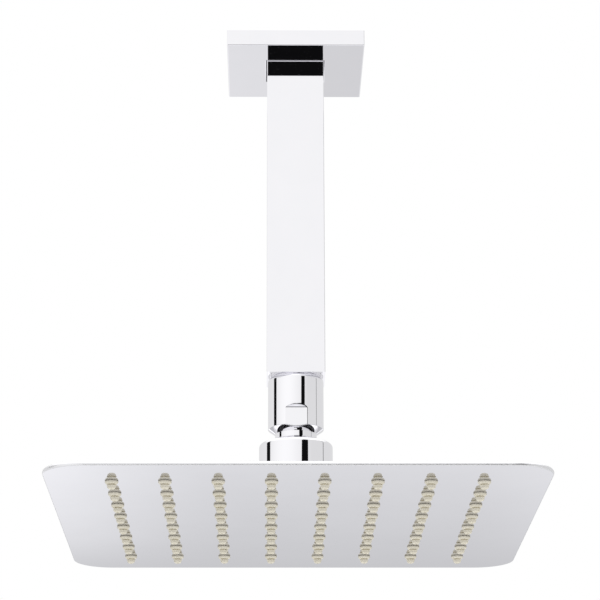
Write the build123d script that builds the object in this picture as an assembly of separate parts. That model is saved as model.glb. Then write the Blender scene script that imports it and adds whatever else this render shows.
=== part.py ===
from build123d import *
import math
import os

# Rain shower head on a square ceiling arm, joined by a ball swivel. Millimetres.
# The origin is where the arm's axis meets the ceiling; +Z is up and the spanner flats face -Y and +Y.

# Clearances
FIT_CLEARANCE = 0.05        # radial room of pushed-in and running fits
THREAD_CLEARANCE = 0.07     # radial room between a screw and its socket

# Ceiling flange, a hollow square cap that slides on the arm
FLANGE_WIDTH = 60.0
FLANGE_DEPTH = 7.0
FLANGE_WALL = 1.5
FLANGE_CORNER = 0.4
FLANGE_EDGE = 0.4           # rounding of the visible lower edge
FLANGE_GAP = 0.3            # room between the arm and the flange's hole
FLANGE_ROLL = 0.5           # rolled-in lower edge of that hole
GASKET_WIDTH = 2.5
GASKET_HEIGHT = 3.0

# Arm, a drawn square tube
ARM_WIDTH = 25.0
ARM_LENGTH = 150.0
ARM_WALL = 2.0
ARM_CORNER = 0.3
ARM_INNER_CORNER = 0.5

# Threaded nipples brazed into the arm's ends, half inch pipe thread
THREAD_DIAMETER = 20.955
INLET_THREAD_LENGTH = 8.0
OUTLET_THREAD_LENGTH = 10.5
THREAD_CHAMFER = 1.0
PLUG_LENGTH = 9.0
NIPPLE_WALL = 3.9

# Connector, the turned socket under the arm
CONNECTOR_WALL = 1.35
CONNECTOR_RIM = 2.4         # rounding of the upper rim
RIM_LAND = 0.65             # flat ring left above that rounding, against the arm
CONE_HEIGHT = 2.1
FLAT_DEPTH = 1.0
FLAT_HEIGHT = 9.7
FLAT_RUNOUT = 0.9           # height of the slope that ends each flat
FLAT_EDGE = 1.4             # sides and upper ends of the flats, rounded by polishing
FLAT_FOOT = 0.3             # lower ends of the flats, rounded less
SEAT_WIDTH = 3.5            # ledge that carries the washer and the screen
LEDGE_WIDTH = 2.5           # ledge under the flow restrictor
LEDGE_THICKNESS = 1.4
STUD_SOCKET_DEPTH = 8.2
WASHER_THICKNESS = 2.0
SCREEN_THICKNESS = 0.5
SCREEN_HOLE = 1.2
SCREEN_HOLE_PITCH = 2.0
SCREEN_HOLES_A_TURN = 6     # more in each ring of holes than in the ring inside it
RESTRICTOR_THICKNESS = 2.0
RESTRICTOR_HOLE = 1.6
RESTRICTOR_HOLE_COUNT = 6
RESTRICTOR_HOLE_CIRCLE = 7.0
STUD_SEAL_THICKNESS = 1.6

# Ball stud
BALL_DIAMETER = 24.0
NECK_STEP = 3.1             # how far the ball stands out from the neck
NECK_LENGTH = 2.3
STUD_SHOULDER = 0.9
STUD_WALL = 3.0

# Rings that carry the ball, the collar nut and the boss below them
GLIDE_THICKNESS = 1.2
GLIDE_BOTTOM = 0.5          # above the ball's centre
GLIDE_HEIGHT = 3.5
COLLAR_WALL = 2.4
COLLAR_SHOULDER = 1.6       # rounding of the collar's upper edge
COLLAR_FOOT = 0.5           # bevel of the collar's lower edge
COLLAR_GAP = 0.6            # left between collar and boss when tightened
LIP_OVERHANG = 1.3
LIP_LAND = 0.27
SOCKET_ROOM = 0.35          # room around the ball in the boss
SEAL_DROP = 5.6             # top of the ball seal below the ball's centre
SEAL_HEIGHT = 5.0
SEAL_SETBACK = 0.8          # of the seal's hole from the waterway
BOSS_DROP = 4.0             # top of the boss below the ball's centre
BOSS_HEIGHT = 15.2
BOSS_WALL = 1.5
BOSS_STEP = 4.7             # ledge that carries the ball seal
BOSS_RIM = 2.3              # how far the boss's foot stands out from the collar
BOSS_FOOT = 3.0
BOSS_BEVEL = 0.5
SPIGOT_WALL = 3.0

# Head, two pressed sheets welded along their edge
HEAD_WIDTH = 200.0
HEAD_CORNER = 17.0
HEAD_DEPTH = 8.0
FACE_SHEET = 0.6
FACE_EDGE = 0.45            # rounding of the face's lower edge
SHELL_SHEET = 0.8
SHELL_EDGE = 1.3            # rounding of the shell's upper edge
RIM_GAP = 0.6               # water space between the sheets at the edge
STEP_RISE = 1.8
STEP_RUN = 5.0
STEP_CORNER = 14.0
CROWN_WIDTH = 64.0
CROWN_CORNER = 12.0
PRESS_RADIUS = 12.0         # soft bends of the pressed sheet
STAY_DIAMETER = 5.0

# Nozzles, soft plugs pushed into the face from below
NOZZLE_PITCH = 21.0
NOZZLE_MARGIN = 22.0        # least distance from a nozzle to the head's edge
CHAMBER_MARGIN = 14.5       # from the outer nozzles to the foot of the raised chamber
NOZZLE_HOLE = 4.0
NOZZLE_BORE = 1.1
SKIRT_DIAMETER = 5.4
SKIRT_WAIST = 3.8
SKIRT_HEIGHT = 1.25
TIP_DIAMETER = 3.4
TIP_END = 3.0
TIP_HEIGHT = 1.95
BARB_DIAMETER = 4.8
BARB_HEIGHT = 0.9

# Levels, from the ceiling down
arm_bottom = -ARM_LENGTH
washer_top = arm_bottom - OUTLET_THREAD_LENGTH
screen_top = washer_top - WASHER_THICKNESS
restrictor_top = screen_top - SCREEN_THICKNESS
ledge_top = restrictor_top - RESTRICTOR_THICKNESS
stud_socket_top = ledge_top - LEDGE_THICKNESS
connector_bottom = stud_socket_top - STUD_SOCKET_DEPTH

# Radii that fit in one another, from the arm down
plug_width = ARM_WIDTH - 2 * ARM_WALL - 2 * FIT_CLEARANCE
nipple_bore = min(THREAD_DIAMETER, plug_width) / 2 - NIPPLE_WALL
socket_radius = THREAD_DIAMETER / 2 + THREAD_CLEARANCE
connector_radius = socket_radius + CONNECTOR_WALL
restrictor_pocket = socket_radius - SEAT_WIDTH
ledge_bore = restrictor_pocket - LEDGE_WIDTH
ball_radius = BALL_DIAMETER / 2
neck_radius = ball_radius - NECK_STEP
stud_radius = neck_radius - STUD_SHOULDER
stud_bore = stud_radius - STUD_WALL
ball_reach = ball_radius + FIT_CLEARANCE
glide_radius = ball_reach + GLIDE_THICKNESS
seat_radius = glide_radius + FIT_CLEARANCE
lip_radius = seat_radius - LIP_OVERHANG
collar_radius = seat_radius + COLLAR_WALL
boss_radius = seat_radius - THREAD_CLEARANCE
boss_socket = boss_radius - BOSS_WALL
boss_bore = boss_socket - BOSS_STEP
boss_foot_radius = collar_radius + BOSS_RIM
spigot_radius = boss_bore + SPIGOT_WALL

# Levels of the swivel and the head
ball_centre = connector_bottom - NECK_LENGTH - math.sqrt(ball_radius**2 - neck_radius**2)
collar_top = ball_centre + math.sqrt(seat_radius**2 - lip_radius**2) + LIP_LAND
seal_top = ball_centre - SEAL_DROP
seal_base = seal_top - SEAL_HEIGHT
boss_top = ball_centre - BOSS_DROP
crown_level = boss_top - BOSS_HEIGHT
boss_foot_top = crown_level + BOSS_FOOT
collar_bottom = boss_foot_top + COLLAR_GAP
face_bottom = crown_level - HEAD_DEPTH
face_top = face_bottom + FACE_SHEET
border_level = face_top + RIM_GAP + SHELL_SHEET

# Nozzle grid and the raised chamber above it
nozzles_per_row = int((HEAD_WIDTH - 2 * NOZZLE_MARGIN) // NOZZLE_PITCH) + 1
chamber_width = (nozzles_per_row - 1) * NOZZLE_PITCH + 2 * CHAMBER_MARGIN
nozzle_grid = GridLocations(NOZZLE_PITCH, NOZZLE_PITCH, nozzles_per_row, nozzles_per_row)
stay_spacing = NOZZLE_PITCH * (2 - nozzles_per_row % 2)

SAME = 1e-6                 # two sizes this close are one


def rod(radius, bottom, top):
    """Upright cylinder on the main axis between two levels."""
    return Pos(0, 0, bottom) * extrude(Circle(radius), top - bottom)


def ring(outer, inner, bottom, top):
    """Upright tube on the main axis between two levels."""
    return rod(outer, bottom, top) - rod(inner, bottom, top)


def square_bar(width, corner, bottom, top):
    """Upright square bar with rounded corners between two levels."""
    return Pos(0, 0, bottom) * extrude(RectangleRounded(width, width, corner), top - bottom)


def ball(radius):
    """Sphere about the swivel's centre."""
    return Pos(0, 0, ball_centre) * Sphere(radius)


def rim(piece, radius, level):
    """Round edge of one radius at one level."""
    circles = piece.edges().filter_by(GeomType.CIRCLE)
    same_size = circles.filter_by(lambda edge: abs(edge.radius - radius) < SAME)
    return same_size.filter_by(lambda edge: abs(edge.arc_center.Z - level) < SAME)


def outline(piece, level):
    """All edges that lie at one level."""
    return piece.edges().filter_by_position(Axis.Z, level - SAME, level + SAME)


def ceiling_flange():
    """Hollow square cap, open to the ceiling, with a square hole for the arm whose edge is rolled in."""
    cap = square_bar(FLANGE_WIDTH, FLANGE_CORNER, -FLANGE_DEPTH, 0)
    cap = fillet(outline(cap, -FLANGE_DEPTH), FLANGE_EDGE)
    inside = FLANGE_WIDTH - 2 * FLANGE_WALL
    cap -= square_bar(inside, FLANGE_CORNER, FLANGE_WALL - FLANGE_DEPTH, 0)
    hole = ARM_WIDTH + 2 * FLANGE_GAP
    cap -= square_bar(hole, ARM_CORNER + FLANGE_GAP, -FLANGE_DEPTH, 0)
    reach = hole / 2 + SAME
    edges = outline(cap, -FLANGE_DEPTH).filter_by_position(Axis.X, -reach, reach)
    return fillet(edges.filter_by_position(Axis.Y, -reach, reach), FLANGE_ROLL)


def flange_gasket():
    """Square rubber ring that lies in the flange and grips the arm."""
    bottom = FLANGE_WALL - FLANGE_DEPTH
    inside = ARM_WIDTH + 2 * FIT_CLEARANCE
    corner = ARM_CORNER + FIT_CLEARANCE
    outside = square_bar(inside + 2 * GASKET_WIDTH, corner + GASKET_WIDTH, bottom, bottom + GASKET_HEIGHT)
    return outside - square_bar(inside, corner, bottom, bottom + GASKET_HEIGHT)


def arm_tube():
    """Square tube from the ceiling down to the connector."""
    inside = ARM_WIDTH - 2 * ARM_WALL
    tube = square_bar(ARM_WIDTH, ARM_CORNER, arm_bottom, 0)
    return tube - square_bar(inside, ARM_INNER_CORNER, arm_bottom, 0)


def nipple(length):
    """Square plug below the thread's root at z = 0, with a threaded spigot of one length above it."""
    plug = square_bar(plug_width, ARM_INNER_CORNER, -PLUG_LENGTH, 0)
    spigot = rod(THREAD_DIAMETER / 2, 0, length)
    spigot = chamfer(rim(spigot, THREAD_DIAMETER / 2, length), THREAD_CHAMFER)
    return plug + spigot - rod(nipple_bore, -PLUG_LENGTH, length)


def inlet_nipple():
    """Threaded inlet at the ceiling."""
    return nipple(INLET_THREAD_LENGTH)


def outlet_nipple():
    """Threaded outlet at the arm's lower end, pointing down."""
    return Pos(0, 0, arm_bottom) * Rot(180, 0, 0) * nipple(OUTLET_THREAD_LENGTH)


def spanner_flat():
    """Cutter for the flat on the -Y side, with its sloped upper end."""
    flat = FLAT_DEPTH - connector_radius
    beyond = flat - 2 * FLAT_DEPTH
    top = connector_bottom + FLAT_HEIGHT
    slope = FLAT_RUNOUT / FLAT_DEPTH
    side = Polyline(
        (flat, connector_bottom),
        (flat, top),
        (beyond, top + slope * (flat - beyond)),
        (beyond, connector_bottom),
        close=True,
    )
    return extrude(Plane.YZ * make_face(side), connector_radius, both=True)


def flat_edges(body):
    """Edges round both spanner flats."""
    flat_level = connector_radius - FLAT_DEPTH - SAME
    return body.edges().filter_by(lambda edge: abs(edge.center().Y) > flat_level)


def connector_body():
    """Turned socket: thread above, restrictor pocket, stud socket below, two spanner flats."""
    cone_top = connector_bottom + CONE_HEIGHT
    setback = CONNECTOR_WALL - RIM_LAND
    rounding_top = arm_bottom + CONNECTOR_RIM - math.sqrt(CONNECTOR_RIM**2 - (CONNECTOR_RIM - setback) ** 2)
    body = rod(connector_radius, cone_top, rounding_top)
    body = fillet(rim(body, connector_radius, rounding_top), CONNECTOR_RIM)
    body -= rod(connector_radius, arm_bottom, rounding_top)
    cone = Cone(neck_radius, connector_radius, CONE_HEIGHT)
    body += Pos(0, 0, connector_bottom + CONE_HEIGHT / 2) * cone
    flat = spanner_flat()
    body -= [flat, mirror(flat, Plane.XZ)]
    body = fillet(flat_edges(body).filter_by(lambda edge: edge.center().Z > cone_top), FLAT_EDGE)
    body = fillet(flat_edges(body).filter_by(lambda edge: edge.center().Z < cone_top), FLAT_FOOT)
    body -= rod(socket_radius, restrictor_top, arm_bottom)
    body -= rod(restrictor_pocket, ledge_top, arm_bottom)
    body -= rod(ledge_bore, connector_bottom, arm_bottom)
    return body - rod(stud_radius + THREAD_CLEARANCE, connector_bottom, stud_socket_top)


def inlet_washer():
    """Flat rubber washer that the outlet nipple presses on."""
    return ring(socket_radius - FIT_CLEARANCE, restrictor_pocket, screen_top, washer_top)


def filter_screen():
    """Thin perforated disc under the washer."""
    outer = socket_radius - FIT_CLEARANCE
    screen = rod(outer, restrictor_top, screen_top)
    hole = rod(SCREEN_HOLE / 2, restrictor_top, screen_top)
    rings_of_holes = int((restrictor_pocket - SCREEN_HOLE) // SCREEN_HOLE_PITCH)
    screen -= hole
    for turn in range(1, rings_of_holes + 1):
        screen -= PolarLocations(turn * SCREEN_HOLE_PITCH, SCREEN_HOLES_A_TURN * turn) * hole
    return screen


def flow_restrictor():
    """Disc with a ring of small holes, lying in the connector's pocket."""
    disc = rod(restrictor_pocket - FIT_CLEARANCE, ledge_top, restrictor_top)
    hole = rod(RESTRICTOR_HOLE / 2, ledge_top, restrictor_top)
    return disc - PolarLocations(RESTRICTOR_HOLE_CIRCLE / 2, RESTRICTOR_HOLE_COUNT) * hole


def stud_seal():
    """Flat ring between the ball stud's upper end and the connector."""
    return ring(stud_radius, stud_bore, stud_socket_top - STUD_SEAL_THICKNESS, stud_socket_top)


def ball_stud():
    """Threaded shank, neck and ball with the waterway through them."""
    shank_top = stud_socket_top - STUD_SEAL_THICKNESS
    stud = ball(ball_radius)
    stud += rod(neck_radius, ball_centre, connector_bottom)
    stud += rod(stud_radius, connector_bottom, shank_top)
    return stud - rod(stud_bore, ball_centre - BALL_DIAMETER, shank_top)


def glide_ring():
    """Band of a hollow sphere that runs between the ball and the collar's lip."""
    bottom = ball_centre + GLIDE_BOTTOM
    band = rod(seat_radius, bottom, bottom + GLIDE_HEIGHT)
    return (band & ball(glide_radius)) - ball(ball_reach)


def ball_seal():
    """Rubber cup that the ball presses on."""
    cup = ring(boss_socket - FIT_CLEARANCE, boss_bore + SEAL_SETBACK, seal_base, seal_top)
    return cup - ball(ball_reach)


def collar_nut():
    """Round nut whose lip holds the ball down onto the boss."""
    nut = rod(collar_radius, collar_bottom, collar_top)
    nut = fillet(rim(nut, collar_radius, collar_top), COLLAR_SHOULDER)
    nut = chamfer(rim(nut, collar_radius, collar_bottom), COLLAR_FOOT)
    nut -= rod(seat_radius, collar_bottom, ball_centre)
    nut -= ball(seat_radius)
    return nut - rod(lip_radius, ball_centre, collar_top)


def head_boss():
    """Threaded boss with a foot on the shell and a spigot through it."""
    foot = rod(boss_foot_radius, crown_level, boss_foot_top)
    foot = chamfer(rim(foot, boss_foot_radius, boss_foot_top), BOSS_BEVEL)
    boss = foot + rod(boss_radius, crown_level, boss_top)
    boss += rod(spigot_radius, crown_level - SHELL_SHEET, crown_level)
    boss -= rod(boss_socket, seal_base, boss_top)
    boss -= ball(ball_radius + SOCKET_ROOM)
    return boss - rod(boss_bore, crown_level - SHELL_SHEET, boss_top)


def chamber_rise(drop):
    """Raised middle of the pressed sheet, from the border up to the flat crown, lowered by a drop."""
    foot = RectangleRounded(chamber_width, chamber_width, STEP_CORNER)
    step_width = chamber_width - 2 * STEP_RUN
    step = RectangleRounded(step_width, step_width, STEP_CORNER)
    crown = RectangleRounded(CROWN_WIDTH, CROWN_WIDTH, CROWN_CORNER)
    sections = [
        Pos(0, 0, border_level - drop) * foot,
        Pos(0, 0, border_level + STEP_RISE - drop) * step,
        Pos(0, 0, crown_level - drop) * crown,
    ]
    rise = loft(sections, ruled=True)
    bends = outline(rise, border_level + STEP_RISE - drop) + outline(rise, crown_level - drop)
    return fillet(bends, PRESS_RADIUS)


def top_shell():
    """Upper sheet of the head with its turned-down edge and raised chamber."""
    shell = square_bar(HEAD_WIDTH, HEAD_CORNER, face_top, border_level)
    shell = fillet(outline(shell, border_level), SHELL_EDGE)
    shell += chamber_rise(0)
    inside = HEAD_WIDTH - 2 * SHELL_SHEET
    shell -= square_bar(inside, HEAD_CORNER - SHELL_SHEET, face_top, border_level - SHELL_SHEET)
    shell -= chamber_rise(SHELL_SHEET)
    return shell - rod(spigot_radius + FIT_CLEARANCE, face_top, crown_level)


def face_plate():
    """Flat lower sheet of the head with a hole for each nozzle."""
    plate = square_bar(HEAD_WIDTH, HEAD_CORNER, face_bottom, face_top)
    plate = fillet(outline(plate, face_bottom), FACE_EDGE)
    return plate - nozzle_grid * rod(NOZZLE_HOLE / 2, face_bottom, face_top)


def stay_pins():
    """Four pins between the face and the shell's crown, halfway between nozzles."""
    pin = rod(STAY_DIAMETER / 2, face_top, crown_level - SHELL_SHEET)
    return Compound([place * pin for place in GridLocations(stay_spacing, stay_spacing, 2, 2)])


def nozzle():
    """One soft nozzle on the main axis: barb above the face, neck in it, skirt and tip below."""
    neck = NOZZLE_HOLE / 2 - FIT_CLEARANCE
    bore = NOZZLE_BORE / 2
    skirt_end = face_bottom - SKIRT_HEIGHT
    tip_end = skirt_end - TIP_HEIGHT
    half_section = Polyline(
        (bore, face_top + BARB_HEIGHT),
        (neck, face_top + BARB_HEIGHT),
        (BARB_DIAMETER / 2, face_top),
        (neck, face_top),
        (neck, face_bottom),
        (SKIRT_DIAMETER / 2, face_bottom),
        (SKIRT_WAIST / 2, skirt_end),
        (TIP_DIAMETER / 2, skirt_end),
        (TIP_END / 2, tip_end),
        (bore, tip_end),
        close=True,
    )
    return revolve(Plane.XZ * make_face(half_section), Axis.Z)


def nozzles():
    """All nozzles of the grid, each a solid of its own."""
    one = nozzle()
    return Compound([place * one for place in nozzle_grid])


PIECES = [
    ceiling_flange,
    flange_gasket,
    arm_tube,
    inlet_nipple,
    outlet_nipple,
    connector_body,
    inlet_washer,
    filter_screen,
    flow_restrictor,
    stud_seal,
    ball_stud,
    glide_ring,
    ball_seal,
    collar_nut,
    head_boss,
    top_shell,
    face_plate,
    stay_pins,
    nozzles,
]

os.makedirs("parts", exist_ok=True)
for piece in PIECES:
    export_step(piece(), f"parts/{piece.__name__}.step")
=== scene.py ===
"""Looks of a square rain shower head on a ceiling arm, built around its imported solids.

The solids give every size and place. This script gives each piece its finish, and models in full
what the solids keep plain: the soft nozzles and the pipe threads.
"""

import logging
import math
from dataclasses import dataclass
from enum import Enum
from typing import Any

import bmesh
import bpy
from mathutils import Matrix, Vector


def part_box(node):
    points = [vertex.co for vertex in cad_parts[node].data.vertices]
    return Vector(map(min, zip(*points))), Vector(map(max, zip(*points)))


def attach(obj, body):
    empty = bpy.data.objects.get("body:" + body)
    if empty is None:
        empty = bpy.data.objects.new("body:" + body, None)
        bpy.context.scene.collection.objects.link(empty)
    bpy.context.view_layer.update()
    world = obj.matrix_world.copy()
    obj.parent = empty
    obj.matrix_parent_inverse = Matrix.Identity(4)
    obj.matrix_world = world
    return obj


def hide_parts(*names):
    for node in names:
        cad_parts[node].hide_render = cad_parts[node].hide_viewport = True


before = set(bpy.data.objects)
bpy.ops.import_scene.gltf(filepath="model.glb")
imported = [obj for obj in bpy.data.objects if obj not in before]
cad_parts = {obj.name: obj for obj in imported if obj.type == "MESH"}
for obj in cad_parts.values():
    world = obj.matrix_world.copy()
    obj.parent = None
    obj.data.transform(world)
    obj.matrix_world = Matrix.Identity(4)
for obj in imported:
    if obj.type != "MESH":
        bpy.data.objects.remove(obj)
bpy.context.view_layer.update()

MM = 0.001
MICRON = 1e-6
WHITE = "#FFFFFF"
SMOOTH_BELOW = math.radians(40)     # faces that meet at a larger angle keep a sharp edge
WAVE_LENGTH = math.pi / 10          # metres, of a wave texture at a scale of 1

Span = tuple[float, float]
Point = tuple[float, float, float]
Profile = list[tuple[float, float]]     # points as radius and height

log = logging.getLogger("shower_head")


class Body(Enum):
    """Bodies that the pieces modelled here move with."""

    ARM = "arm"
    HEAD = "head"


class Slot(Enum):
    """Finishes as the record names them."""

    CHROME = "chrome"
    POLISHED_STEEL = "polished_steel"
    BARE_STEEL = "bare_steel"
    BRASS = "brass"
    SILICONE = "silicone"
    BLACK_RUBBER = "black_rubber"
    WHITE_PLASTIC = "white_plastic"
    BLACK_PLASTIC = "black_plastic"


def linear(hex_colour: str) -> tuple[float, float, float, float]:
    """Turns an sRGB colour into linear light.

    Args:
        hex_colour: six hex digits after a hash sign.

    Returns:
        Red, green, blue and an alpha of one.
    """
    values = [int(hex_colour[i:i + 2], 16) / 255 for i in (1, 3, 5)]
    light = [v / 12.92 if v <= 0.04045 else ((v + 0.055) / 1.055) ** 2.4 for v in values]
    return light[0], light[1], light[2], 1.0


def add_node(
    tree: bpy.types.NodeTree,
    kind: str,
    inputs: dict[str | int, Any] | None = None,
    **settings: Any,
) -> bpy.types.Node:
    """Adds one node to a tree.

    Args:
        tree: node tree of a material or of the world.
        kind: Blender's name for the type of node.
        inputs: values by the input's name, or by its number where names repeat; a socket is
            linked, and any other value is set.
        **settings: the node's own properties.

    Returns:
        The new node.
    """
    node = tree.nodes.new(kind)
    for name, value in settings.items():
        setattr(node, name, value)
    for key, value in (inputs or {}).items():
        if isinstance(value, bpy.types.NodeSocket):
            tree.links.new(value, node.inputs[key])
        else:
            node.inputs[key].default_value = value
    return node


def new_material(name: str) -> tuple[bpy.types.Material, bpy.types.NodeTree]:
    """Makes an empty node material.

    Args:
        name: the material's name.

    Returns:
        The material and its node tree.
    """
    material = bpy.data.materials.new(name)
    material.use_nodes = True
    material.node_tree.nodes.clear()
    return material, material.node_tree


def per_metre(size_mm: float) -> float:
    """Texture scale at which one feature is about this many millimetres wide."""
    return 1 / (size_mm * MM)


@dataclass(frozen=True)
class MirrorMetal:
    """Metal polished or plated until it mirrors the room, with the haze and ripple this leaves.

    A sheet's level faces are polished best. Its upright edges keep some of the grinding, which
    leaves them rougher, and their paler colour is a painted highlight.
    """

    name: str
    colour: str
    haze_colour: str
    roughness: float
    haze: float                         # roughness that the haze adds
    haze_mm: float
    ripple_mm: float
    ripple_micron: float
    edge_colour_with_painted_highlight: str = ""               # paler colour of upright faces, a painted highlight; none where they are polished like the rest
    edge_roughness: float = 0.0
    edge_upward: Span = (0.9, 0.98)     # of the normal, from where it is an edge to a level face
    haze_part: Span = (0.35, 0.75)      # of the noise, from clear to full haze
    haze_detail: float = 4.0
    ripple_detail: float = 1.0

    def material(self) -> bpy.types.Material:
        """Builds the finish.

        Returns:
            The material.
        """
        material, tree = new_material(self.name)
        surface = add_node(tree, "ShaderNodeTexCoord").outputs
        place = surface["Object"]
        haze = add_node(
            tree,
            "ShaderNodeTexNoise",
            {"Vector": place, "Scale": per_metre(self.haze_mm), "Detail": self.haze_detail},
        ).outputs["Fac"]
        colour = add_node(
            tree,
            "ShaderNodeMix",
            {"Factor": haze, "A": linear(self.colour), "B": linear(self.haze_colour)},
            data_type="RGBA",
        ).outputs["Result"]
        roughness = add_node(
            tree,
            "ShaderNodeMapRange",
            {
                "Value": haze,
                "From Min": self.haze_part[0],
                "From Max": self.haze_part[1],
                "To Min": self.roughness,
                "To Max": self.roughness + self.haze,
            },
        ).outputs["Result"]
        # Upright faces get the rougher grinding, and a paler colour that is a painted highlight.
        if self.edge_colour_with_painted_highlight:
            normal = add_node(tree, "ShaderNodeSeparateXYZ", {"Vector": surface["Normal"]})
            upward = add_node(
                tree, "ShaderNodeMath", {0: normal.outputs["Z"]}, operation="ABSOLUTE"
            )
            edge = add_node(
                tree,
                "ShaderNodeMapRange",
                {
                    "Value": upward.outputs["Value"],
                    "From Min": self.edge_upward[0],
                    "From Max": self.edge_upward[1],
                    "To Min": 1.0,
                    "To Max": 0.0,
                },
            ).outputs["Result"]
            colour = add_node(
                tree,
                "ShaderNodeMix",
                {"Factor": edge, "A": colour, "B": linear(self.edge_colour_with_painted_highlight)},
                data_type="RGBA",
            ).outputs["Result"]
            roughness = add_node(
                tree, "ShaderNodeMix", {"Factor": edge, "A": roughness, "B": self.edge_roughness}
            ).outputs["Result"]
        ripple = add_node(
            tree,
            "ShaderNodeTexNoise",
            {"Vector": place, "Scale": per_metre(self.ripple_mm), "Detail": self.ripple_detail},
        )
        bump = add_node(
            tree,
            "ShaderNodeBump",
            {
                "Height": ripple.outputs["Fac"],
                "Strength": 1.0,
                "Distance": self.ripple_micron * MICRON,
            },
        )
        shader = add_node(
            tree,
            "ShaderNodeBsdfPrincipled",
            {
                "Base Color": colour,
                "Metallic": 1.0,
                "Roughness": roughness,
                "Normal": bump.outputs["Normal"],
            },
        )
        add_node(tree, "ShaderNodeOutputMaterial", {"Surface": shader.outputs["BSDF"]})
        return material


@dataclass(frozen=True)
class TurnedMetal:
    """Metal left as the lathe or the draw plate made it, with fine lines and no plating."""

    name: str
    colour: str
    tarnish: str
    roughness: float
    line_mm: float
    line_micron: float
    tarnish_mm: float
    tarnish_part: Span = (0.3, 0.7)     # of the noise, from clean to fully tarnished
    tarnish_detail: float = 5.0
    dulling: float = 1.6                # times the roughness where it is tarnished
    line_waver: float = 0.6

    def material(self) -> bpy.types.Material:
        """Builds the finish.

        Returns:
            The material.
        """
        material, tree = new_material(self.name)
        place = add_node(tree, "ShaderNodeTexCoord").outputs["Object"]
        tarnish = add_node(
            tree,
            "ShaderNodeTexNoise",
            {"Vector": place, "Scale": per_metre(self.tarnish_mm), "Detail": self.tarnish_detail},
        ).outputs["Fac"]
        colour = add_node(
            tree,
            "ShaderNodeMix",
            {"Factor": tarnish, "A": linear(self.colour), "B": linear(self.tarnish)},
            data_type="RGBA",
        )
        roughness = add_node(
            tree,
            "ShaderNodeMapRange",
            {
                "Value": tarnish,
                "From Min": self.tarnish_part[0],
                "From Max": self.tarnish_part[1],
                "To Min": self.roughness,
                "To Max": self.roughness * self.dulling,
            },
        )
        lines = add_node(
            tree,
            "ShaderNodeTexWave",
            {
                "Vector": place,
                "Scale": per_metre(self.line_mm) * WAVE_LENGTH,
                "Distortion": self.line_waver,
            },
            bands_direction="Z",
        )
        bump = add_node(
            tree,
            "ShaderNodeBump",
            {
                "Height": lines.outputs["Fac"],
                "Strength": 1.0,
                "Distance": self.line_micron * MICRON,
            },
        )
        shader = add_node(
            tree,
            "ShaderNodeBsdfPrincipled",
            {
                "Base Color": colour.outputs["Result"],
                "Metallic": 1.0,
                "Roughness": roughness.outputs["Result"],
                "Normal": bump.outputs["Normal"],
            },
        )
        add_node(tree, "ShaderNodeOutputMaterial", {"Surface": shader.outputs["BSDF"]})
        return material


@dataclass(frozen=True)
class MouldedPolymer:
    """Rubber or plastic as it leaves the mould: softly shining, with faint grain and clouds."""

    name: str
    colour: str
    cloud_colour: str
    roughness: float
    ior: float
    cloud_mm: float
    grain_mm: float
    grain_micron: float
    cloud_part: Span = (0.3, 0.7)       # of the noise, over which the shine changes
    cloud_detail: float = 3.0
    shine: Span = (0.9, 1.15)           # times the roughness, outside the clouds and in them
    grain_detail: float = 2.0

    def material(self) -> bpy.types.Material:
        """Builds the finish.

        Returns:
            The material.
        """
        material, tree = new_material(self.name)
        place = add_node(tree, "ShaderNodeTexCoord").outputs["Object"]
        cloud = add_node(
            tree,
            "ShaderNodeTexNoise",
            {"Vector": place, "Scale": per_metre(self.cloud_mm), "Detail": self.cloud_detail},
        ).outputs["Fac"]
        colour = add_node(
            tree,
            "ShaderNodeMix",
            {"Factor": cloud, "A": linear(self.colour), "B": linear(self.cloud_colour)},
            data_type="RGBA",
        )
        roughness = add_node(
            tree,
            "ShaderNodeMapRange",
            {
                "Value": cloud,
                "From Min": self.cloud_part[0],
                "From Max": self.cloud_part[1],
                "To Min": self.roughness * self.shine[0],
                "To Max": self.roughness * self.shine[1],
            },
        )
        grain = add_node(
            tree,
            "ShaderNodeTexNoise",
            {"Vector": place, "Scale": per_metre(self.grain_mm), "Detail": self.grain_detail},
        )
        bump = add_node(
            tree,
            "ShaderNodeBump",
            {
                "Height": grain.outputs["Fac"],
                "Strength": 1.0,
                "Distance": self.grain_micron * MICRON,
            },
        )
        shader = add_node(
            tree,
            "ShaderNodeBsdfPrincipled",
            {
                "Base Color": colour.outputs["Result"],
                "Roughness": roughness.outputs["Result"],
                "IOR": self.ior,
                "Normal": bump.outputs["Normal"],
            },
        )
        add_node(tree, "ShaderNodeOutputMaterial", {"Surface": shader.outputs["BSDF"]})
        return material


# Bright chrome plate over polished brass: a nearly perfect mirror, a touch cold, with hardly any
# haze.
CHROME_PLATE = MirrorMetal(
    name="chrome_plate_on_polished_brass",
    colour="#F7F6F9",
    haze_colour="#F3F3F6",
    roughness=0.012,
    haze=0.02,
    haze_mm=14.0,
    ripple_mm=7.0,
    ripple_micron=0.6,
)
# Stainless sheet, rolled and then mirror polished: a little darker and softer than chrome, with
# long ripples and rougher ground edges, whose paler colour is a painted highlight.
POLISHED_SHEET = MirrorMetal(
    name="mirror_polished_stainless_sheet",
    colour="#D2D2D6",
    haze_colour="#CCCCD0",
    roughness=0.03,
    haze=0.03,
    haze_mm=25.0,
    ripple_mm=40.0,
    ripple_micron=3.0,
    # the upright edges' paler colour is a painted highlight
    edge_colour_with_painted_highlight="#ECECEE",
    edge_roughness=0.36,
)
# Cold drawn stainless: grey, with fine lines round the pins and the screen. The lines are drawn
# coarser than real ones, so that they show.
DRAWN_STEEL = TurnedMetal(
    name="drawn_stainless_steel",
    colour="#BDBDBB",
    tarnish="#A9A9A6",
    roughness=0.28,
    line_mm=0.3,
    line_micron=2.0,
    tarnish_mm=6.0,
)
# Free cutting brass, straight from the lathe: warm yellow with fine tool lines, drawn coarser than
# real ones so that they show, and a dull bloom.
TURNED_BRASS = TurnedMetal(
    name="turned_brass",
    colour="#D8B66A",
    tarnish="#BE9A52",
    roughness=0.22,
    line_mm=0.25,
    line_micron=3.0,
    tarnish_mm=5.0,
)
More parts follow.
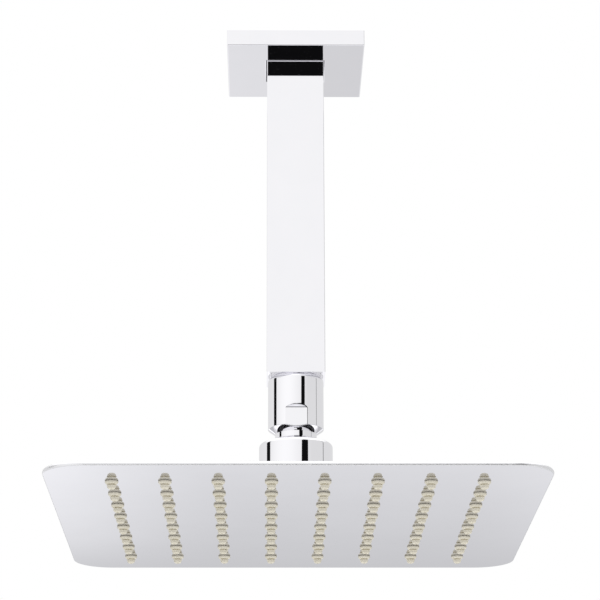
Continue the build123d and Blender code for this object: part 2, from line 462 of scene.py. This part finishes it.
# Silicone rubber moulded in cream: soft and matt, with a dull sheen and slightly cloudy colour.
# Its grain, and that of the other mouldings, is drawn coarser than the mould's, so that it shows.
CREAM_SILICONE = MouldedPolymer(
    name="moulded_cream_silicone",
    colour="#ECE7D7",
    cloud_colour="#E3DCC6",
    roughness=0.45,
    ior=1.41,
    cloud_mm=9.0,
    grain_mm=0.25,
    grain_micron=6.0,
)
# Black nitrile rubber, moulded: deep grey black with a dull bloom.
NITRILE_RUBBER = MouldedPolymer(
    name="moulded_nitrile_rubber",
    colour="#1B1B1C",
    cloud_colour="#252526",
    roughness=0.6,
    ior=1.52,
    cloud_mm=4.0,
    grain_mm=0.2,
    grain_micron=8.0,
)
# Acetal, moulded in its natural white: waxy, with a soft shine.
NATURAL_ACETAL = MouldedPolymer(
    name="moulded_natural_acetal",
    colour="#EFEDE6",
    cloud_colour="#E6E4DB",
    roughness=0.35,
    ior=1.48,
    cloud_mm=8.0,
    grain_mm=0.3,
    grain_micron=3.0,
)
# The same acetal coloured black for the ring that the ball runs on: smooth, with a low shine. Its
# dark colour is also painted shade, for the shaded gap round the ball that the cone mirrors.
BLACK_ACETAL_AND_PAINTED_SHADE = MouldedPolymer(
    name="moulded_black_acetal_and_painted_shade",
    colour="#363638",
    cloud_colour="#404042",
    roughness=0.4,
    ior=1.48,
    cloud_mm=8.0,
    grain_mm=0.3,
    grain_micron=3.0,
)

FINISHES = {
    Slot.CHROME: CHROME_PLATE,
    Slot.POLISHED_STEEL: POLISHED_SHEET,
    Slot.BARE_STEEL: DRAWN_STEEL,
    Slot.BRASS: TURNED_BRASS,
    Slot.SILICONE: CREAM_SILICONE,
    Slot.BLACK_RUBBER: NITRILE_RUBBER,
    Slot.WHITE_PLASTIC: NATURAL_ACETAL,
    Slot.BLACK_PLASTIC: BLACK_ACETAL_AND_PAINTED_SHADE,
}


class Finisher:
    """Keeps one material for each finish and puts it on the pieces."""

    def __init__(self) -> None:
        """Builds every finish once."""
        self.materials = {slot: finish.material() for slot, finish in FINISHES.items()}

    def dress(self, slot: Slot, *nodes: str) -> None:
        """Gives solids their finish.

        Args:
            slot: which finish.
            *nodes: names of the solids.
        """
        for node in nodes:
            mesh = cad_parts[node].data
            mesh.materials.clear()
            mesh.materials.append(self.materials[slot])
            log.info("%s: %s", node, self.materials[slot].name)

    def place(
        self, shape: bmesh.types.BMesh, name: str, slot: Slot, body: Body, node: str
    ) -> None:
        """Turns a finished shape into a piece that stands for a solid.

        Args:
            shape: the shape in metres, in the part's frame; it is used up.
            name: the piece's name.
            slot: which finish.
            body: what it moves with.
            node: the solid that it stands for.
        """
        mesh = bpy.data.meshes.new(name)
        bmesh.ops.recalc_face_normals(shape, faces=shape.faces)
        shape.to_mesh(mesh)
        shape.free()
        mesh.shade_smooth()
        mesh.set_sharp_from_angle(angle=SMOOTH_BELOW)
        mesh.materials.append(self.materials[slot])
        piece = bpy.data.objects.new(name, mesh)
        bpy.context.scene.collection.objects.link(piece)
        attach(piece, body.value)
        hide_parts(node)
        log.info("%s stands for %s: %d faces", name, node, len(mesh.polygons))


def arc(
    centre: tuple[float, float], radius: float, start: float, end: float, steps: int
) -> Profile:
    """Points along a circular arc.

    Args:
        centre: middle of the arc.
        radius: its radius.
        start: angle of the first point, in degrees.
        end: angle of the last point.
        steps: number of chords.

    Returns:
        The points in order.
    """
    angles = [math.radians(start + (end - start) * i / steps) for i in range(steps + 1)]
    return [(centre[0] + radius * math.cos(a), centre[1] + radius * math.sin(a)) for a in angles]


def bridge(
    shape: bmesh.types.BMesh, one: list[bmesh.types.BMVert], two: list[bmesh.types.BMVert]
) -> None:
    """Joins two rings of equally many points with faces.

    Args:
        shape: the shape that holds the points.
        one: the first ring, in order.
        two: the second ring, in the same order.
    """
    count = len(one)
    for i in range(count):
        j = (i + 1) % count
        shape.faces.new((one[i], one[j], two[j], two[i]))


def round_ring(
    shape: bmesh.types.BMesh, turns: list[float], radii: list[float], z: float
) -> list[bmesh.types.BMVert]:
    """Adds a level ring of points about the main axis, one for each angle and its radius."""
    return [shape.verts.new((r * math.cos(a), r * math.sin(a), z)) for a, r in zip(turns, radii)]


def add_lathed(shape: bmesh.types.BMesh, profile: Profile, segments: int, foot: Vector) -> None:
    """Adds a closed turned form.

    Args:
        shape: the shape to add to.
        profile: closed half section as radius and height, in metres.
        segments: how many flats round.
        foot: where the profile's zero stands.
    """
    turns = [math.tau * i / segments for i in range(segments)]
    rings = [
        [shape.verts.new(foot + Vector((r * math.cos(a), r * math.sin(a), z))) for a in turns]
        for r, z in profile
    ]
    for one, two in zip(rings, rings[1:] + rings[:1]):
        bridge(shape, one, two)


@dataclass
class CeilingFlange:
    """Square cover cap under the ceiling and the rubber ring inside it."""

    finisher: Finisher

    def build(self) -> None:
        """Dresses the cap and its ring."""
        self.finisher.dress(Slot.CHROME, "ceiling_flange")
        self.finisher.dress(Slot.BLACK_RUBBER, "flange_gasket")


@dataclass
class CeilingArm:
    """Square tube with a nipple brazed into each end, which has the half inch pipe thread."""

    finisher: Finisher
    tube_wall: float = 2.0 * MM
    plug_room: float = 0.05 * MM        # left round the plug for the braze
    nipple_wall: float = 3.9 * MM
    plug_corner: float = 0.5 * MM
    thread_pitch: float = 25.4 / 14 * MM    # fourteen turns to the inch
    thread_depth: float = 1.162 * MM
    crest_share: float = 0.16           # flat share of the pitch on the crest and in the groove
    lead_in: float = 1.0 * MM           # bevel at the open end
    turn_steps: int = 72
    pitch_steps: int = 12

    def build(self) -> None:
        """Dresses the tube and cuts the threads."""
        self.finisher.dress(Slot.CHROME, "arm_tube")
        tube_low, tube_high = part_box("arm_tube")
        inlet = self.nipple("inlet_nipple", tube_high.z, 1)
        self.finisher.place(inlet, "threaded_inlet", Slot.BRASS, Body.ARM, "inlet_nipple")
        outlet = self.nipple("outlet_nipple", tube_low.z, -1)
        self.finisher.place(outlet, "threaded_outlet", Slot.CHROME, Body.ARM, "outlet_nipple")

    def thread_height(self, along: float, turn: float) -> float:
        """How much of the full thread stands at one point.

        Args:
            along: distance from the thread's root end.
            turn: angle round the axis, in radians.

        Returns:
            Zero in the groove and one on the crest.
        """
        phase = (along / self.thread_pitch - turn / math.tau) % 1.0
        flank = 0.5 - self.crest_share
        fall = (abs(phase - 0.5) - self.crest_share / 2) / flank
        return 1 - min(max(fall, 0.0), 1.0)

    def nipple(self, node: str, root: float, way: int) -> bmesh.types.BMesh:
        """Builds a square plug in the tube with a threaded spigot that points out of it.

        Args:
            node: the solid that gives the sizes.
            root: level of the tube's end, where the thread starts.
            way: 1 where the spigot points up and -1 where it points down.

        Returns:
            The shape.
        """
        low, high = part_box(node)
        plug_end, spigot_end = (low.z, high.z) if way > 0 else (high.z, low.z)
        length = abs(spigot_end - root)
        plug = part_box("arm_tube")[1].x - self.tube_wall - self.plug_room
        bore = plug - self.nipple_wall
        turns = [math.tau * i / self.turn_steps for i in range(self.turn_steps)]
        steps = round(length / self.thread_pitch * self.pitch_steps)
        shape = bmesh.new()
        rings = [
            round_ring(shape, turns, [bore] * len(turns), spigot_end),
            round_ring(shape, turns, [bore] * len(turns), plug_end),
            self.square_ring(shape, turns, plug, plug_end),
            self.square_ring(shape, turns, plug, root),
        ]
        for step in range(steps + 1):
            along = length * step / steps
            run_out = min(1.0, along / self.thread_pitch)
            bevel = max(0.0, self.lead_in - (length - along))
            groove = [(1 - self.thread_height(along, turn * way)) * run_out for turn in turns]
            radii = [high.x - max(self.thread_depth * share, bevel) for share in groove]
            rings.append(round_ring(shape, turns, radii, root + way * along))
        for one, two in zip(rings, rings[1:] + rings[:1]):
            bridge(shape, one, two)
        return shape

    def square_ring(
        self, shape: bmesh.types.BMesh, turns: list[float], half: float, z: float
    ) -> list[bmesh.types.BMVert]:
        """Adds a ring of points on a square with rounded corners.

        Args:
            shape: the shape to add to.
            turns: angles of the points.
            half: half the square's width.
            z: its level.

        Returns:
            The new points.
        """
        inner = half - self.plug_corner
        points = []
        for turn in turns:
            c, s = math.cos(turn), math.sin(turn)
            reach = half / max(abs(c), abs(s))
            x, y = reach * c, reach * s
            if min(abs(x), abs(y)) > inner:
                corner = Vector((math.copysign(inner, x), math.copysign(inner, y)))
                along = corner.dot((c, s))
                reach = along + math.sqrt(
                    along**2 - corner.length_squared + self.plug_corner**2
                )
                x, y = reach * c, reach * s
            points.append(shape.verts.new((x, y, z)))
        return points


@dataclass
class BallSwivel:
    """Turned socket, ball and collar that let the head tilt and turn, with their seals."""

    finisher: Finisher

    def build(self) -> None:
        """Dresses the swivel's pieces."""
        self.finisher.dress(Slot.CHROME, "connector_body", "ball_stud", "collar_nut")
        self.finisher.dress(Slot.BLACK_RUBBER, "inlet_washer", "stud_seal", "ball_seal")
        self.finisher.dress(Slot.BARE_STEEL, "filter_screen")
        self.finisher.dress(Slot.WHITE_PLASTIC, "flow_restrictor")
        # The glide ring's dark colour is also painted shade for the shaded gap it sits in.
        self.finisher.dress(Slot.BLACK_PLASTIC, "glide_ring")


@dataclass
class RainHead:
    """Two polished sheets, the boss that carries them and the soft nozzles in the lower one.

    A nozzle is a skirt against the face, a groove, and a bead-like tip round the mouth. A barb
    behind the face holds it in its hole.
    """

    finisher: Finisher
    pitch: float = 21.0 * MM
    skirt_radius: float = 2.7 * MM
    skirt_round: float = 0.32 * MM      # of the skirt's upper edge, outwards
    skirt_drop: float = 0.32 * MM       # of its widest place below the face
    skirt_bulge: float = 0.12 * MM
    skirt_height: float = 1.25 * MM
    skirt_edge_steps: int = 6
    skirt_stations: tuple[float, ...] = (0.15, 0.3, 0.45, 0.6, 0.75, 0.92)  # of the way down
    waist_radius: float = 2.1 * MM
    groove_radius: float = 1.35 * MM
    groove_width: float = 0.6 * MM
    groove_lip: float = 0.04 * MM
    tip_radius: float = 1.95 * MM
    tip_end_radius: float = 1.7 * MM
    tip_round: float = 0.95 * MM
    tip_steps: int = 7
    hole_radius: float = 1.95 * MM      # in the face
    barb_radius: float = 2.4 * MM
    bore_radius: float = 0.55 * MM
    bore_bevel: float = 0.15 * MM
    segments: int = 32

    def build(self) -> None:
        """Dresses the sheets and builds the nozzles."""
        self.finisher.dress(Slot.CHROME, "head_boss")
        self.finisher.dress(Slot.POLISHED_STEEL, "top_shell", "face_plate")
        self.finisher.dress(Slot.BARE_STEEL, "stay_pins")
        self.finisher.place(self.nozzles(), "soft_nozzles", Slot.SILICONE, Body.HEAD, "nozzles")

    def half_section(self) -> Profile:
        """Draws one nozzle's closed half section, with the face's underside at zero.

        Returns:
            The points in order, from the top of the bore outwards and down.
        """
        low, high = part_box("nozzles")
        face_low, face_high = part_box("face_plate")
        sheet = face_high.z - face_low.z
        top = high.z - face_low.z
        end = low.z - face_low.z
        waist = -self.skirt_height
        drop = self.skirt_drop
        barb = [
            (self.bore_radius, top),
            (self.hole_radius, top),
            (self.barb_radius, sheet),
            (self.hole_radius, sheet),
            (self.hole_radius, 0.0),
        ]
        skirt = [
            (self.skirt_radius + self.skirt_round * (c - 1), drop * (s - 1))
            for c, s in arc((0.0, 0.0), 1.0, 90, 0, self.skirt_edge_steps)
        ]
        narrowing = self.waist_radius - self.skirt_radius
        skirt += [
            (
                self.skirt_radius + narrowing * t + self.skirt_bulge * math.sin(math.pi * t),
                -drop + (waist + drop) * t,
            )
            for t in self.skirt_stations
        ]
        groove = [
            (self.waist_radius - self.groove_lip, waist),
            (self.groove_radius, waist - self.groove_lip),
            (self.groove_radius, waist - self.groove_width / 2),
            (self.tip_radius, waist - self.groove_width),
        ]
        tip_centre = (self.tip_end_radius - self.tip_round, end + self.tip_round)
        tip = arc(tip_centre, self.tip_round, 0, -90, self.tip_steps)
        mouth = [
            (self.bore_radius + self.bore_bevel, end),
            (self.bore_radius, end + self.bore_bevel),
        ]
        return barb + skirt + groove + tip + mouth

    def nozzles(self) -> bmesh.types.BMesh:
        """Builds all nozzles of the square grid.

        Returns:
            One shape with all of them.
        """
        low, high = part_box("nozzles")
        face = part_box("face_plate")[0].z
        span = high.x - low.x - 2 * self.skirt_radius
        rows = round(span / self.pitch) + 1
        profile = self.half_section()
        shape = bmesh.new()
        for row in range(rows):
            for column in range(rows):
                x = (column - (rows - 1) / 2) * self.pitch
                y = (row - (rows - 1) / 2) * self.pitch
                add_lathed(shape, profile, self.segments, Vector((x, y, face)))
        return shape


def stage_sheet(
    name: str, corners: list[Point], material: bpy.types.Material
) -> bpy.types.Object:
    """Puts a flat sheet on the stage.

    Args:
        name: the sheet's name.
        corners: its corners in order, in metres.
        material: what it is made of.

    Returns:
        The sheet.
    """
    shape = bmesh.new()
    shape.faces.new([shape.verts.new(corner) for corner in corners])
    mesh = bpy.data.meshes.new(name)
    shape.to_mesh(mesh)
    shape.free()
    mesh.materials.append(material)
    sheet = bpy.data.objects.new(name, mesh)
    bpy.context.scene.collection.objects.link(sheet)
    return sheet


def show_only_in_mirrors(thing: bpy.types.Object) -> None:
    """Hides a stage object from everything but mirror reflections.

    Args:
        thing: the object to hide.
    """
    thing.visible_camera = False
    thing.visible_diffuse = False
    thing.visible_transmission = False
    thing.visible_volume_scatter = False
    thing.visible_shadow = False


@dataclass(frozen=True)
class Softbox:
    """Large soft lamp, turned to the head. Mirrors show the white room in its place."""

    name: str
    place: Point
    width: float
    watts: float
    aim: Point = (0.0, 0.0, -0.2)

    def build(self) -> None:
        """Hangs the lamp and turns it to its aim."""
        lamp = bpy.data.lights.new(self.name, "AREA")
        lamp.shape = "SQUARE"
        lamp.size = self.width
        lamp.energy = self.watts
        box = bpy.data.objects.new(self.name, lamp)
        box.location = self.place
        box.rotation_mode = "QUATERNION"
        box.rotation_quaternion = (Vector(self.aim) - Vector(self.place)).to_track_quat("-Z", "Y")
        box.visible_glossy = False
        box.visible_camera = False
        bpy.context.scene.collection.objects.link(box)
        log.info("%s: %.0f W", self.name, self.watts)


@dataclass(frozen=True)
class Card:
    """Flat card that stands in the studio and shows only in what mirrors it.

    Azimuths are seen from the object, in degrees, zero towards the camera and growing to the
    camera's right.
    """

    name: str
    azimuth: Span
    distance: float
    bottom: float
    tops: Span              # above each azimuth
    grey: str

    def build(self) -> None:
        """Stands the card up."""
        feet = []
        for angle in self.azimuth:
            a = math.radians(angle)
            feet.append((self.distance * math.sin(a), -self.distance * math.cos(a)))
        left, right = feet
        corners = [
            (*left, self.bottom),
            (*left, self.tops[0]),
            (*right, self.tops[1]),
            (*right, self.bottom),
        ]
        material, tree = new_material(self.name)
        glow = add_node(
            tree, "ShaderNodeEmission", {"Color": linear(self.grey), "Strength": 1.0}
        )
        add_node(tree, "ShaderNodeOutputMaterial", {"Surface": glow.outputs["Emission"]})
        show_only_in_mirrors(stage_sheet(self.name, corners, material))
        log.info("%s stands at %.1f m", self.name, self.distance)


@dataclass(frozen=True)
class Wash:
    """Soft patch of light or shade on paper, which changes along the width and the height."""

    across: Span            # two places along the width
    amounts: Span           # of light that is added at each of them
    levels: Span            # two heights
    shares: Span            # of the amount at each of them


FLOOR_LEVEL = -1.1
FLAG_JOINT = 0.24           # where the right flag stands on its foot
STAND_TOP = -0.36           # where the stand's arm starts
GLOW_LEVELS = (-0.725, -0.655)
GLOW_SHARES = (1.0, 0.1)

SOFTBOXES = (
    Softbox("key_softbox", place=(-1.4, -1.5, 1.0), width=1.4, watts=22.0),
    Softbox("fill_softbox", place=(1.7, -0.9, 0.3), width=1.2, watts=10.0),
    Softbox("floor_softbox", place=(0.0, 0.0, -1.05), width=1.2, watts=2.5),
)
# The flags draw the dark strips in the arm and the swivel. The stand darkens what faces the camera.
CARDS = (
    Card(
        "left_flag",
        azimuth=(-103.5, -88.0),
        distance=1.6,
        bottom=0.18,
        tops=(0.6, 0.6),
        grey="#141415",
    ),
    Card(
        "right_flag",
        azimuth=(22.0, 37.0),
        distance=1.6,
        bottom=FLAG_JOINT,
        tops=(0.6, 0.6),
        grey="#101011",
    ),
    Card(
        "right_flag_foot",
        azimuth=(17.6, 37.6),
        distance=1.6,
        bottom=FLOOR_LEVEL,
        tops=(FLAG_JOINT, FLAG_JOINT),
        grey="#101011",
    ),
    Card(
        "side_strip",
        azimuth=(92.5, 95.5),
        distance=1.6,
        bottom=0.1,
        tops=(1.4, 1.4),
        grey="#898989",
    ),
    Card(
        "camera_stand",
        azimuth=(-11.0, 17.6),
        distance=1.12,
        bottom=FLOOR_LEVEL,
        tops=(STAND_TOP, STAND_TOP),
        grey="#0E0E0F",
    ),
    Card(
        "stand_arm",
        azimuth=(3.0, 17.6),
        distance=1.12,
        bottom=STAND_TOP,
        tops=(STAND_TOP, 0.10),
        grey="#0E0E0F",
    ),
)
# Painted light and shade in the paper's glow: paler to the left and a little to the right, and
# darker at its foot.
LEFT_GLOW = Wash((-0.03, -0.47), (0.0, 0.305), GLOW_LEVELS, GLOW_SHARES)
RIGHT_GLOW = Wash((0.25, 0.5), (0.0, 0.12), GLOW_LEVELS, GLOW_SHARES)
FOOT_SHADE = Wash((0.0, 0.06), (-0.202, -0.312), (-0.87, -0.95), (0.0, 1.0))


@dataclass(frozen=True)
class Backdrop:
    """Sheet of paper hung behind the object for the face to mirror, which fades out at its top.

    Its glow is painted light and shade, graded with height and washed in soft patches.
    """

    name: str = "paper_backdrop"
    distance: float = 2.4
    half_width: float = 2.2
    bottom: float = FLOOR_LEVEL
    top: float = -0.3
    colour: str = "#FDFDFF"
    shade_levels: Span = (-0.835, -0.60)
    shade: Span = (1.012, 0.665)            # of the paper at those heights
    washes: tuple[Wash, ...] = (LEFT_GLOW, RIGHT_GLOW, FOOT_SHADE)
    fade_levels: Span = (-0.3, -0.58)       # from clear to full paper

    def build(self) -> None:
        """Hangs the sheet up."""
        w, y = self.half_width, self.distance
        corners = [(-w, y, self.bottom), (w, y, self.bottom), (w, y, self.top), (-w, y, self.top)]
        material, tree = new_material(self.name)
        place = add_node(tree, "ShaderNodeTexCoord").outputs["Object"]
        axes = add_node(tree, "ShaderNodeSeparateXYZ", {"Vector": place}).outputs
        level = add_node(
            tree,
            "ShaderNodeMapRange",
            {
                "Value": axes["Z"],
                "From Min": self.shade_levels[0],
                "From Max": self.shade_levels[1],
                "To Min": self.shade[0],
                "To Max": self.shade[1],
            },
        ).outputs["Result"]
        for wash in self.washes:
            across, upwards = (
                add_node(
                    tree,
                    "ShaderNodeMapRange",
                    {
                        "Value": axes[axis],
                        "From Min": places[0],
                        "From Max": places[1],
                        "To Min": values[0],
                        "To Max": values[1],
                    },
                    interpolation_type="SMOOTHSTEP",
                ).outputs["Result"]
                for axis, places, values in (
                    ("X", wash.across, wash.amounts),
                    ("Z", wash.levels, wash.shares),
                )
            )
            level = add_node(
                tree, "ShaderNodeMath", {0: across, 1: upwards, 2: level}, operation="MULTIPLY_ADD"
            ).outputs["Value"]
        share = add_node(
            tree,
            "ShaderNodeMapRange",
            {"Value": axes["Z"], "From Min": self.fade_levels[0], "From Max": self.fade_levels[1]},
            interpolation_type="SMOOTHSTEP",
        )
        clear = add_node(tree, "ShaderNodeBsdfTransparent")
        # the paper glows at a painted level of light and shade, not lit by the lamps
        glow = add_node(
            tree, "ShaderNodeEmission", {"Color": linear(self.colour), "Strength": level}
        )
        paper = add_node(
            tree,
            "ShaderNodeMixShader",
            {0: share.outputs["Result"], 1: clear.outputs["BSDF"], 2: glow.outputs["Emission"]},
        )
        add_node(tree, "ShaderNodeOutputMaterial", {"Surface": paper.outputs["Shader"]})
        show_only_in_mirrors(stage_sheet(self.name, corners, material))
        log.info("%s hangs at %.1f m", self.name, self.distance)


@dataclass
class Studio:
    """White room with a pale floor, soft lamps, a few cards for the chrome, and the camera."""

    floor_half_width: float = 14.0
    floor_colour: str = "#EEEEF0"
    floor_roughness: float = 0.9
    floor_white: float = 0.7            # how far the floor turns white to the camera and in mirrors
    floor_fade: Span = (0.9, 2.2)       # distances between which it gives way to the room
    bright_side: Point = (-0.38, -0.82, 0.42)
    bright_part: Span = (0.35, 1.0)     # of the way round to the bright side, from pale to bright
    pale_level: float = 0.77            # of the room away from its bright side, in mirrors
    bright_level: float = 1.02
    left_gain: float = 0.08             # added towards the left, in mirrors
    overhead_part: Span = (0.35, 0.75)  # of the way up, over which the ceiling comes in
    ceiling_level: float = 1.45         # straight up, in mirrors
    ambient: str = "#E0E0E2"            # the room's light on dull surfaces
    camera_place: Point = (-12.054 * MM, -1021.239 * MM, -435.613 * MM)
    camera_pitch: float = 17.4746       # degrees, looking up
    camera_yaw: float = 0.784           # degrees, turned to the right
    camera_roll: float = -0.159         # degrees
    camera_lens: float = 147.81         # for a sensor 36 mm wide
    camera_reach: float = 100.0

    def build(self) -> None:
        """Sets up the room, the lamps, the cards and the camera."""
        bpy.context.scene.view_settings.view_transform = "Standard"
        self.room()
        self.floor()
        for thing in (*SOFTBOXES, *CARDS, Backdrop()):
            thing.build()
        self.camera()

    def room(self) -> None:
        """Makes the white world: graded in mirrors, dimmer on dull surfaces, white elsewhere."""
        world = bpy.data.worlds.new("white_room")
        world.use_nodes = True
        bpy.context.scene.world = world
        tree = world.node_tree
        tree.nodes.clear()
        ray = add_node(tree, "ShaderNodeLightPath").outputs
        direction = add_node(tree, "ShaderNodeTexCoord").outputs["Generated"]
        bright = Vector(self.bright_side).normalized()
        towards = add_node(
            tree, "ShaderNodeVectorMath", {0: direction, 1: bright}, operation="DOT_PRODUCT"
        )
        walls = add_node(
            tree,
            "ShaderNodeMapRange",
            {
                "Value": towards.outputs["Value"],
                "From Min": self.bright_part[0],
                "From Max": self.bright_part[1],
                "To Min": self.pale_level,
                "To Max": self.bright_level,
            },
        )
        axes = add_node(tree, "ShaderNodeSeparateXYZ", {"Vector": direction}).outputs
        ceiling = add_node(
            tree,
            "ShaderNodeMapRange",
            {
                "Value": axes["Z"],
                "From Min": self.overhead_part[0],
                "From Max": self.overhead_part[1],
                "To Min": 0.0,
                "To Max": self.ceiling_level,
            },
            interpolation_type="SMOOTHSTEP",
        )
        brighter = add_node(
            tree,
            "ShaderNodeMath",
            {0: walls.outputs["Result"], 1: ceiling.outputs["Result"]},
            operation="MAXIMUM",
        )
        leftward = add_node(
            tree,
            "ShaderNodeMapRange",
            {
                "Value": axes["X"],
                "From Min": 0.0,
                "From Max": -1.0,
                "To Min": 0.0,
                "To Max": self.left_gain,
            },
        )
        graded = add_node(
            tree,
            "ShaderNodeMath",
            {0: brighter.outputs["Value"], 1: leftward.outputs["Result"]},
            operation="ADD",
        )
        mirrored, plain, soft = (
            add_node(tree, "ShaderNodeBackground", {"Color": colour, "Strength": 1.0})
            for colour in (graded.outputs["Value"], linear(WHITE), linear(self.ambient))
        )
        shiny = add_node(
            tree,
            "ShaderNodeMath",
            {0: ray["Is Glossy Ray"], 1: ray["Is Transmission Ray"]},
            operation="MAXIMUM",
        )
        unseen = add_node(
            tree,
            "ShaderNodeMixShader",
            {
                0: shiny.outputs["Value"],
                1: soft.outputs["Background"],
                2: mirrored.outputs["Background"],
            },
        )
        seen = add_node(
            tree,
            "ShaderNodeMixShader",
            {
                0: ray["Is Camera Ray"],
                1: unseen.outputs["Shader"],
                2: plain.outputs["Background"],
            },
        )
        add_node(tree, "ShaderNodeOutputWorld", {"Surface": seen.outputs["Shader"]})

    def floor(self) -> None:
        """Lays a pale floor of matt painted board, far below.

        The room's own light stands for what the floor throws back.
        """
        half, z = self.floor_half_width, FLOOR_LEVEL
        corners = [(-half, -half, z), (half, -half, z), (half, half, z), (-half, half, z)]
        material, tree = new_material("matt_painted_board")
        board = add_node(
            tree,
            "ShaderNodeBsdfPrincipled",
            {"Base Color": linear(self.floor_colour), "Roughness": self.floor_roughness},
        )
        white = add_node(tree, "ShaderNodeEmission", {"Color": linear(WHITE), "Strength": 1.0})
        ray = add_node(tree, "ShaderNodeLightPath").outputs
        shiny = add_node(
            tree,
            "ShaderNodeMath",
            {0: ray["Is Glossy Ray"], 1: ray["Is Transmission Ray"]},
            operation="MAXIMUM",
        )
        seen = add_node(
            tree,
            "ShaderNodeMath",
            {0: ray["Is Camera Ray"], 1: shiny.outputs["Value"]},
            operation="MAXIMUM",
        )
        share = add_node(
            tree,
            "ShaderNodeMath",
            {0: seen.outputs["Value"], 1: self.floor_white},
            operation="MULTIPLY",
        )
        lit = add_node(
            tree,
            "ShaderNodeMixShader",
            {0: share.outputs["Value"], 1: board.outputs["BSDF"], 2: white.outputs["Emission"]},
        )
        place = add_node(tree, "ShaderNodeTexCoord").outputs["Object"]
        level = add_node(
            tree, "ShaderNodeVectorMath", {0: place, 1: (1.0, 1.0, 0.0)}, operation="MULTIPLY"
        )
        away = add_node(
            tree, "ShaderNodeVectorMath", {0: level.outputs["Vector"]}, operation="LENGTH"
        )
        fading = add_node(
            tree,
            "ShaderNodeMapRange",
            {
                "Value": away.outputs["Value"],
                "From Min": self.floor_fade[0],
                "From Max": self.floor_fade[1],
            },
            interpolation_type="SMOOTHSTEP",
        )
        clear = add_node(tree, "ShaderNodeBsdfTransparent")
        mixed = add_node(
            tree,
            "ShaderNodeMixShader",
            {0: fading.outputs["Result"], 1: lit.outputs["Shader"], 2: clear.outputs["BSDF"]},
        )
        add_node(tree, "ShaderNodeOutputMaterial", {"Surface": mixed.outputs["Shader"]})
        stage_sheet("floor", corners, material).visible_diffuse = False

    def camera(self) -> None:
        """Stands the camera at the photograph's place and angle."""
        data = bpy.data.cameras.new("photo_camera")
        data.lens = self.camera_lens
        data.clip_end = self.camera_reach
        turned = Matrix.Rotation(math.radians(-self.camera_yaw), 4, "Z")
        # A camera with no rotation looks straight down.
        raised = Matrix.Rotation(math.radians(90 + self.camera_pitch), 4, "X")
        rolled = Matrix.Rotation(math.radians(self.camera_roll), 4, "Z")
        camera = bpy.data.objects.new("photo_camera", data)
        camera.matrix_world = Matrix.Translation(self.camera_place) @ turned @ raised @ rolled
        bpy.context.scene.collection.objects.link(camera)
        bpy.context.scene.camera = camera


def main() -> None:
    """Builds the sub-assemblies in order, from the ceiling down, and then the studio."""
    logging.basicConfig(level=logging.INFO, format="%(name)s: %(message)s")
    finisher = Finisher()
    for assembly in (CeilingFlange, CeilingArm, BallSwivel, RainHead):
        log.info("building %s", assembly.__name__)
        assembly(finisher).build()
    Studio().build()


if __name__ == "__main__":
    main()
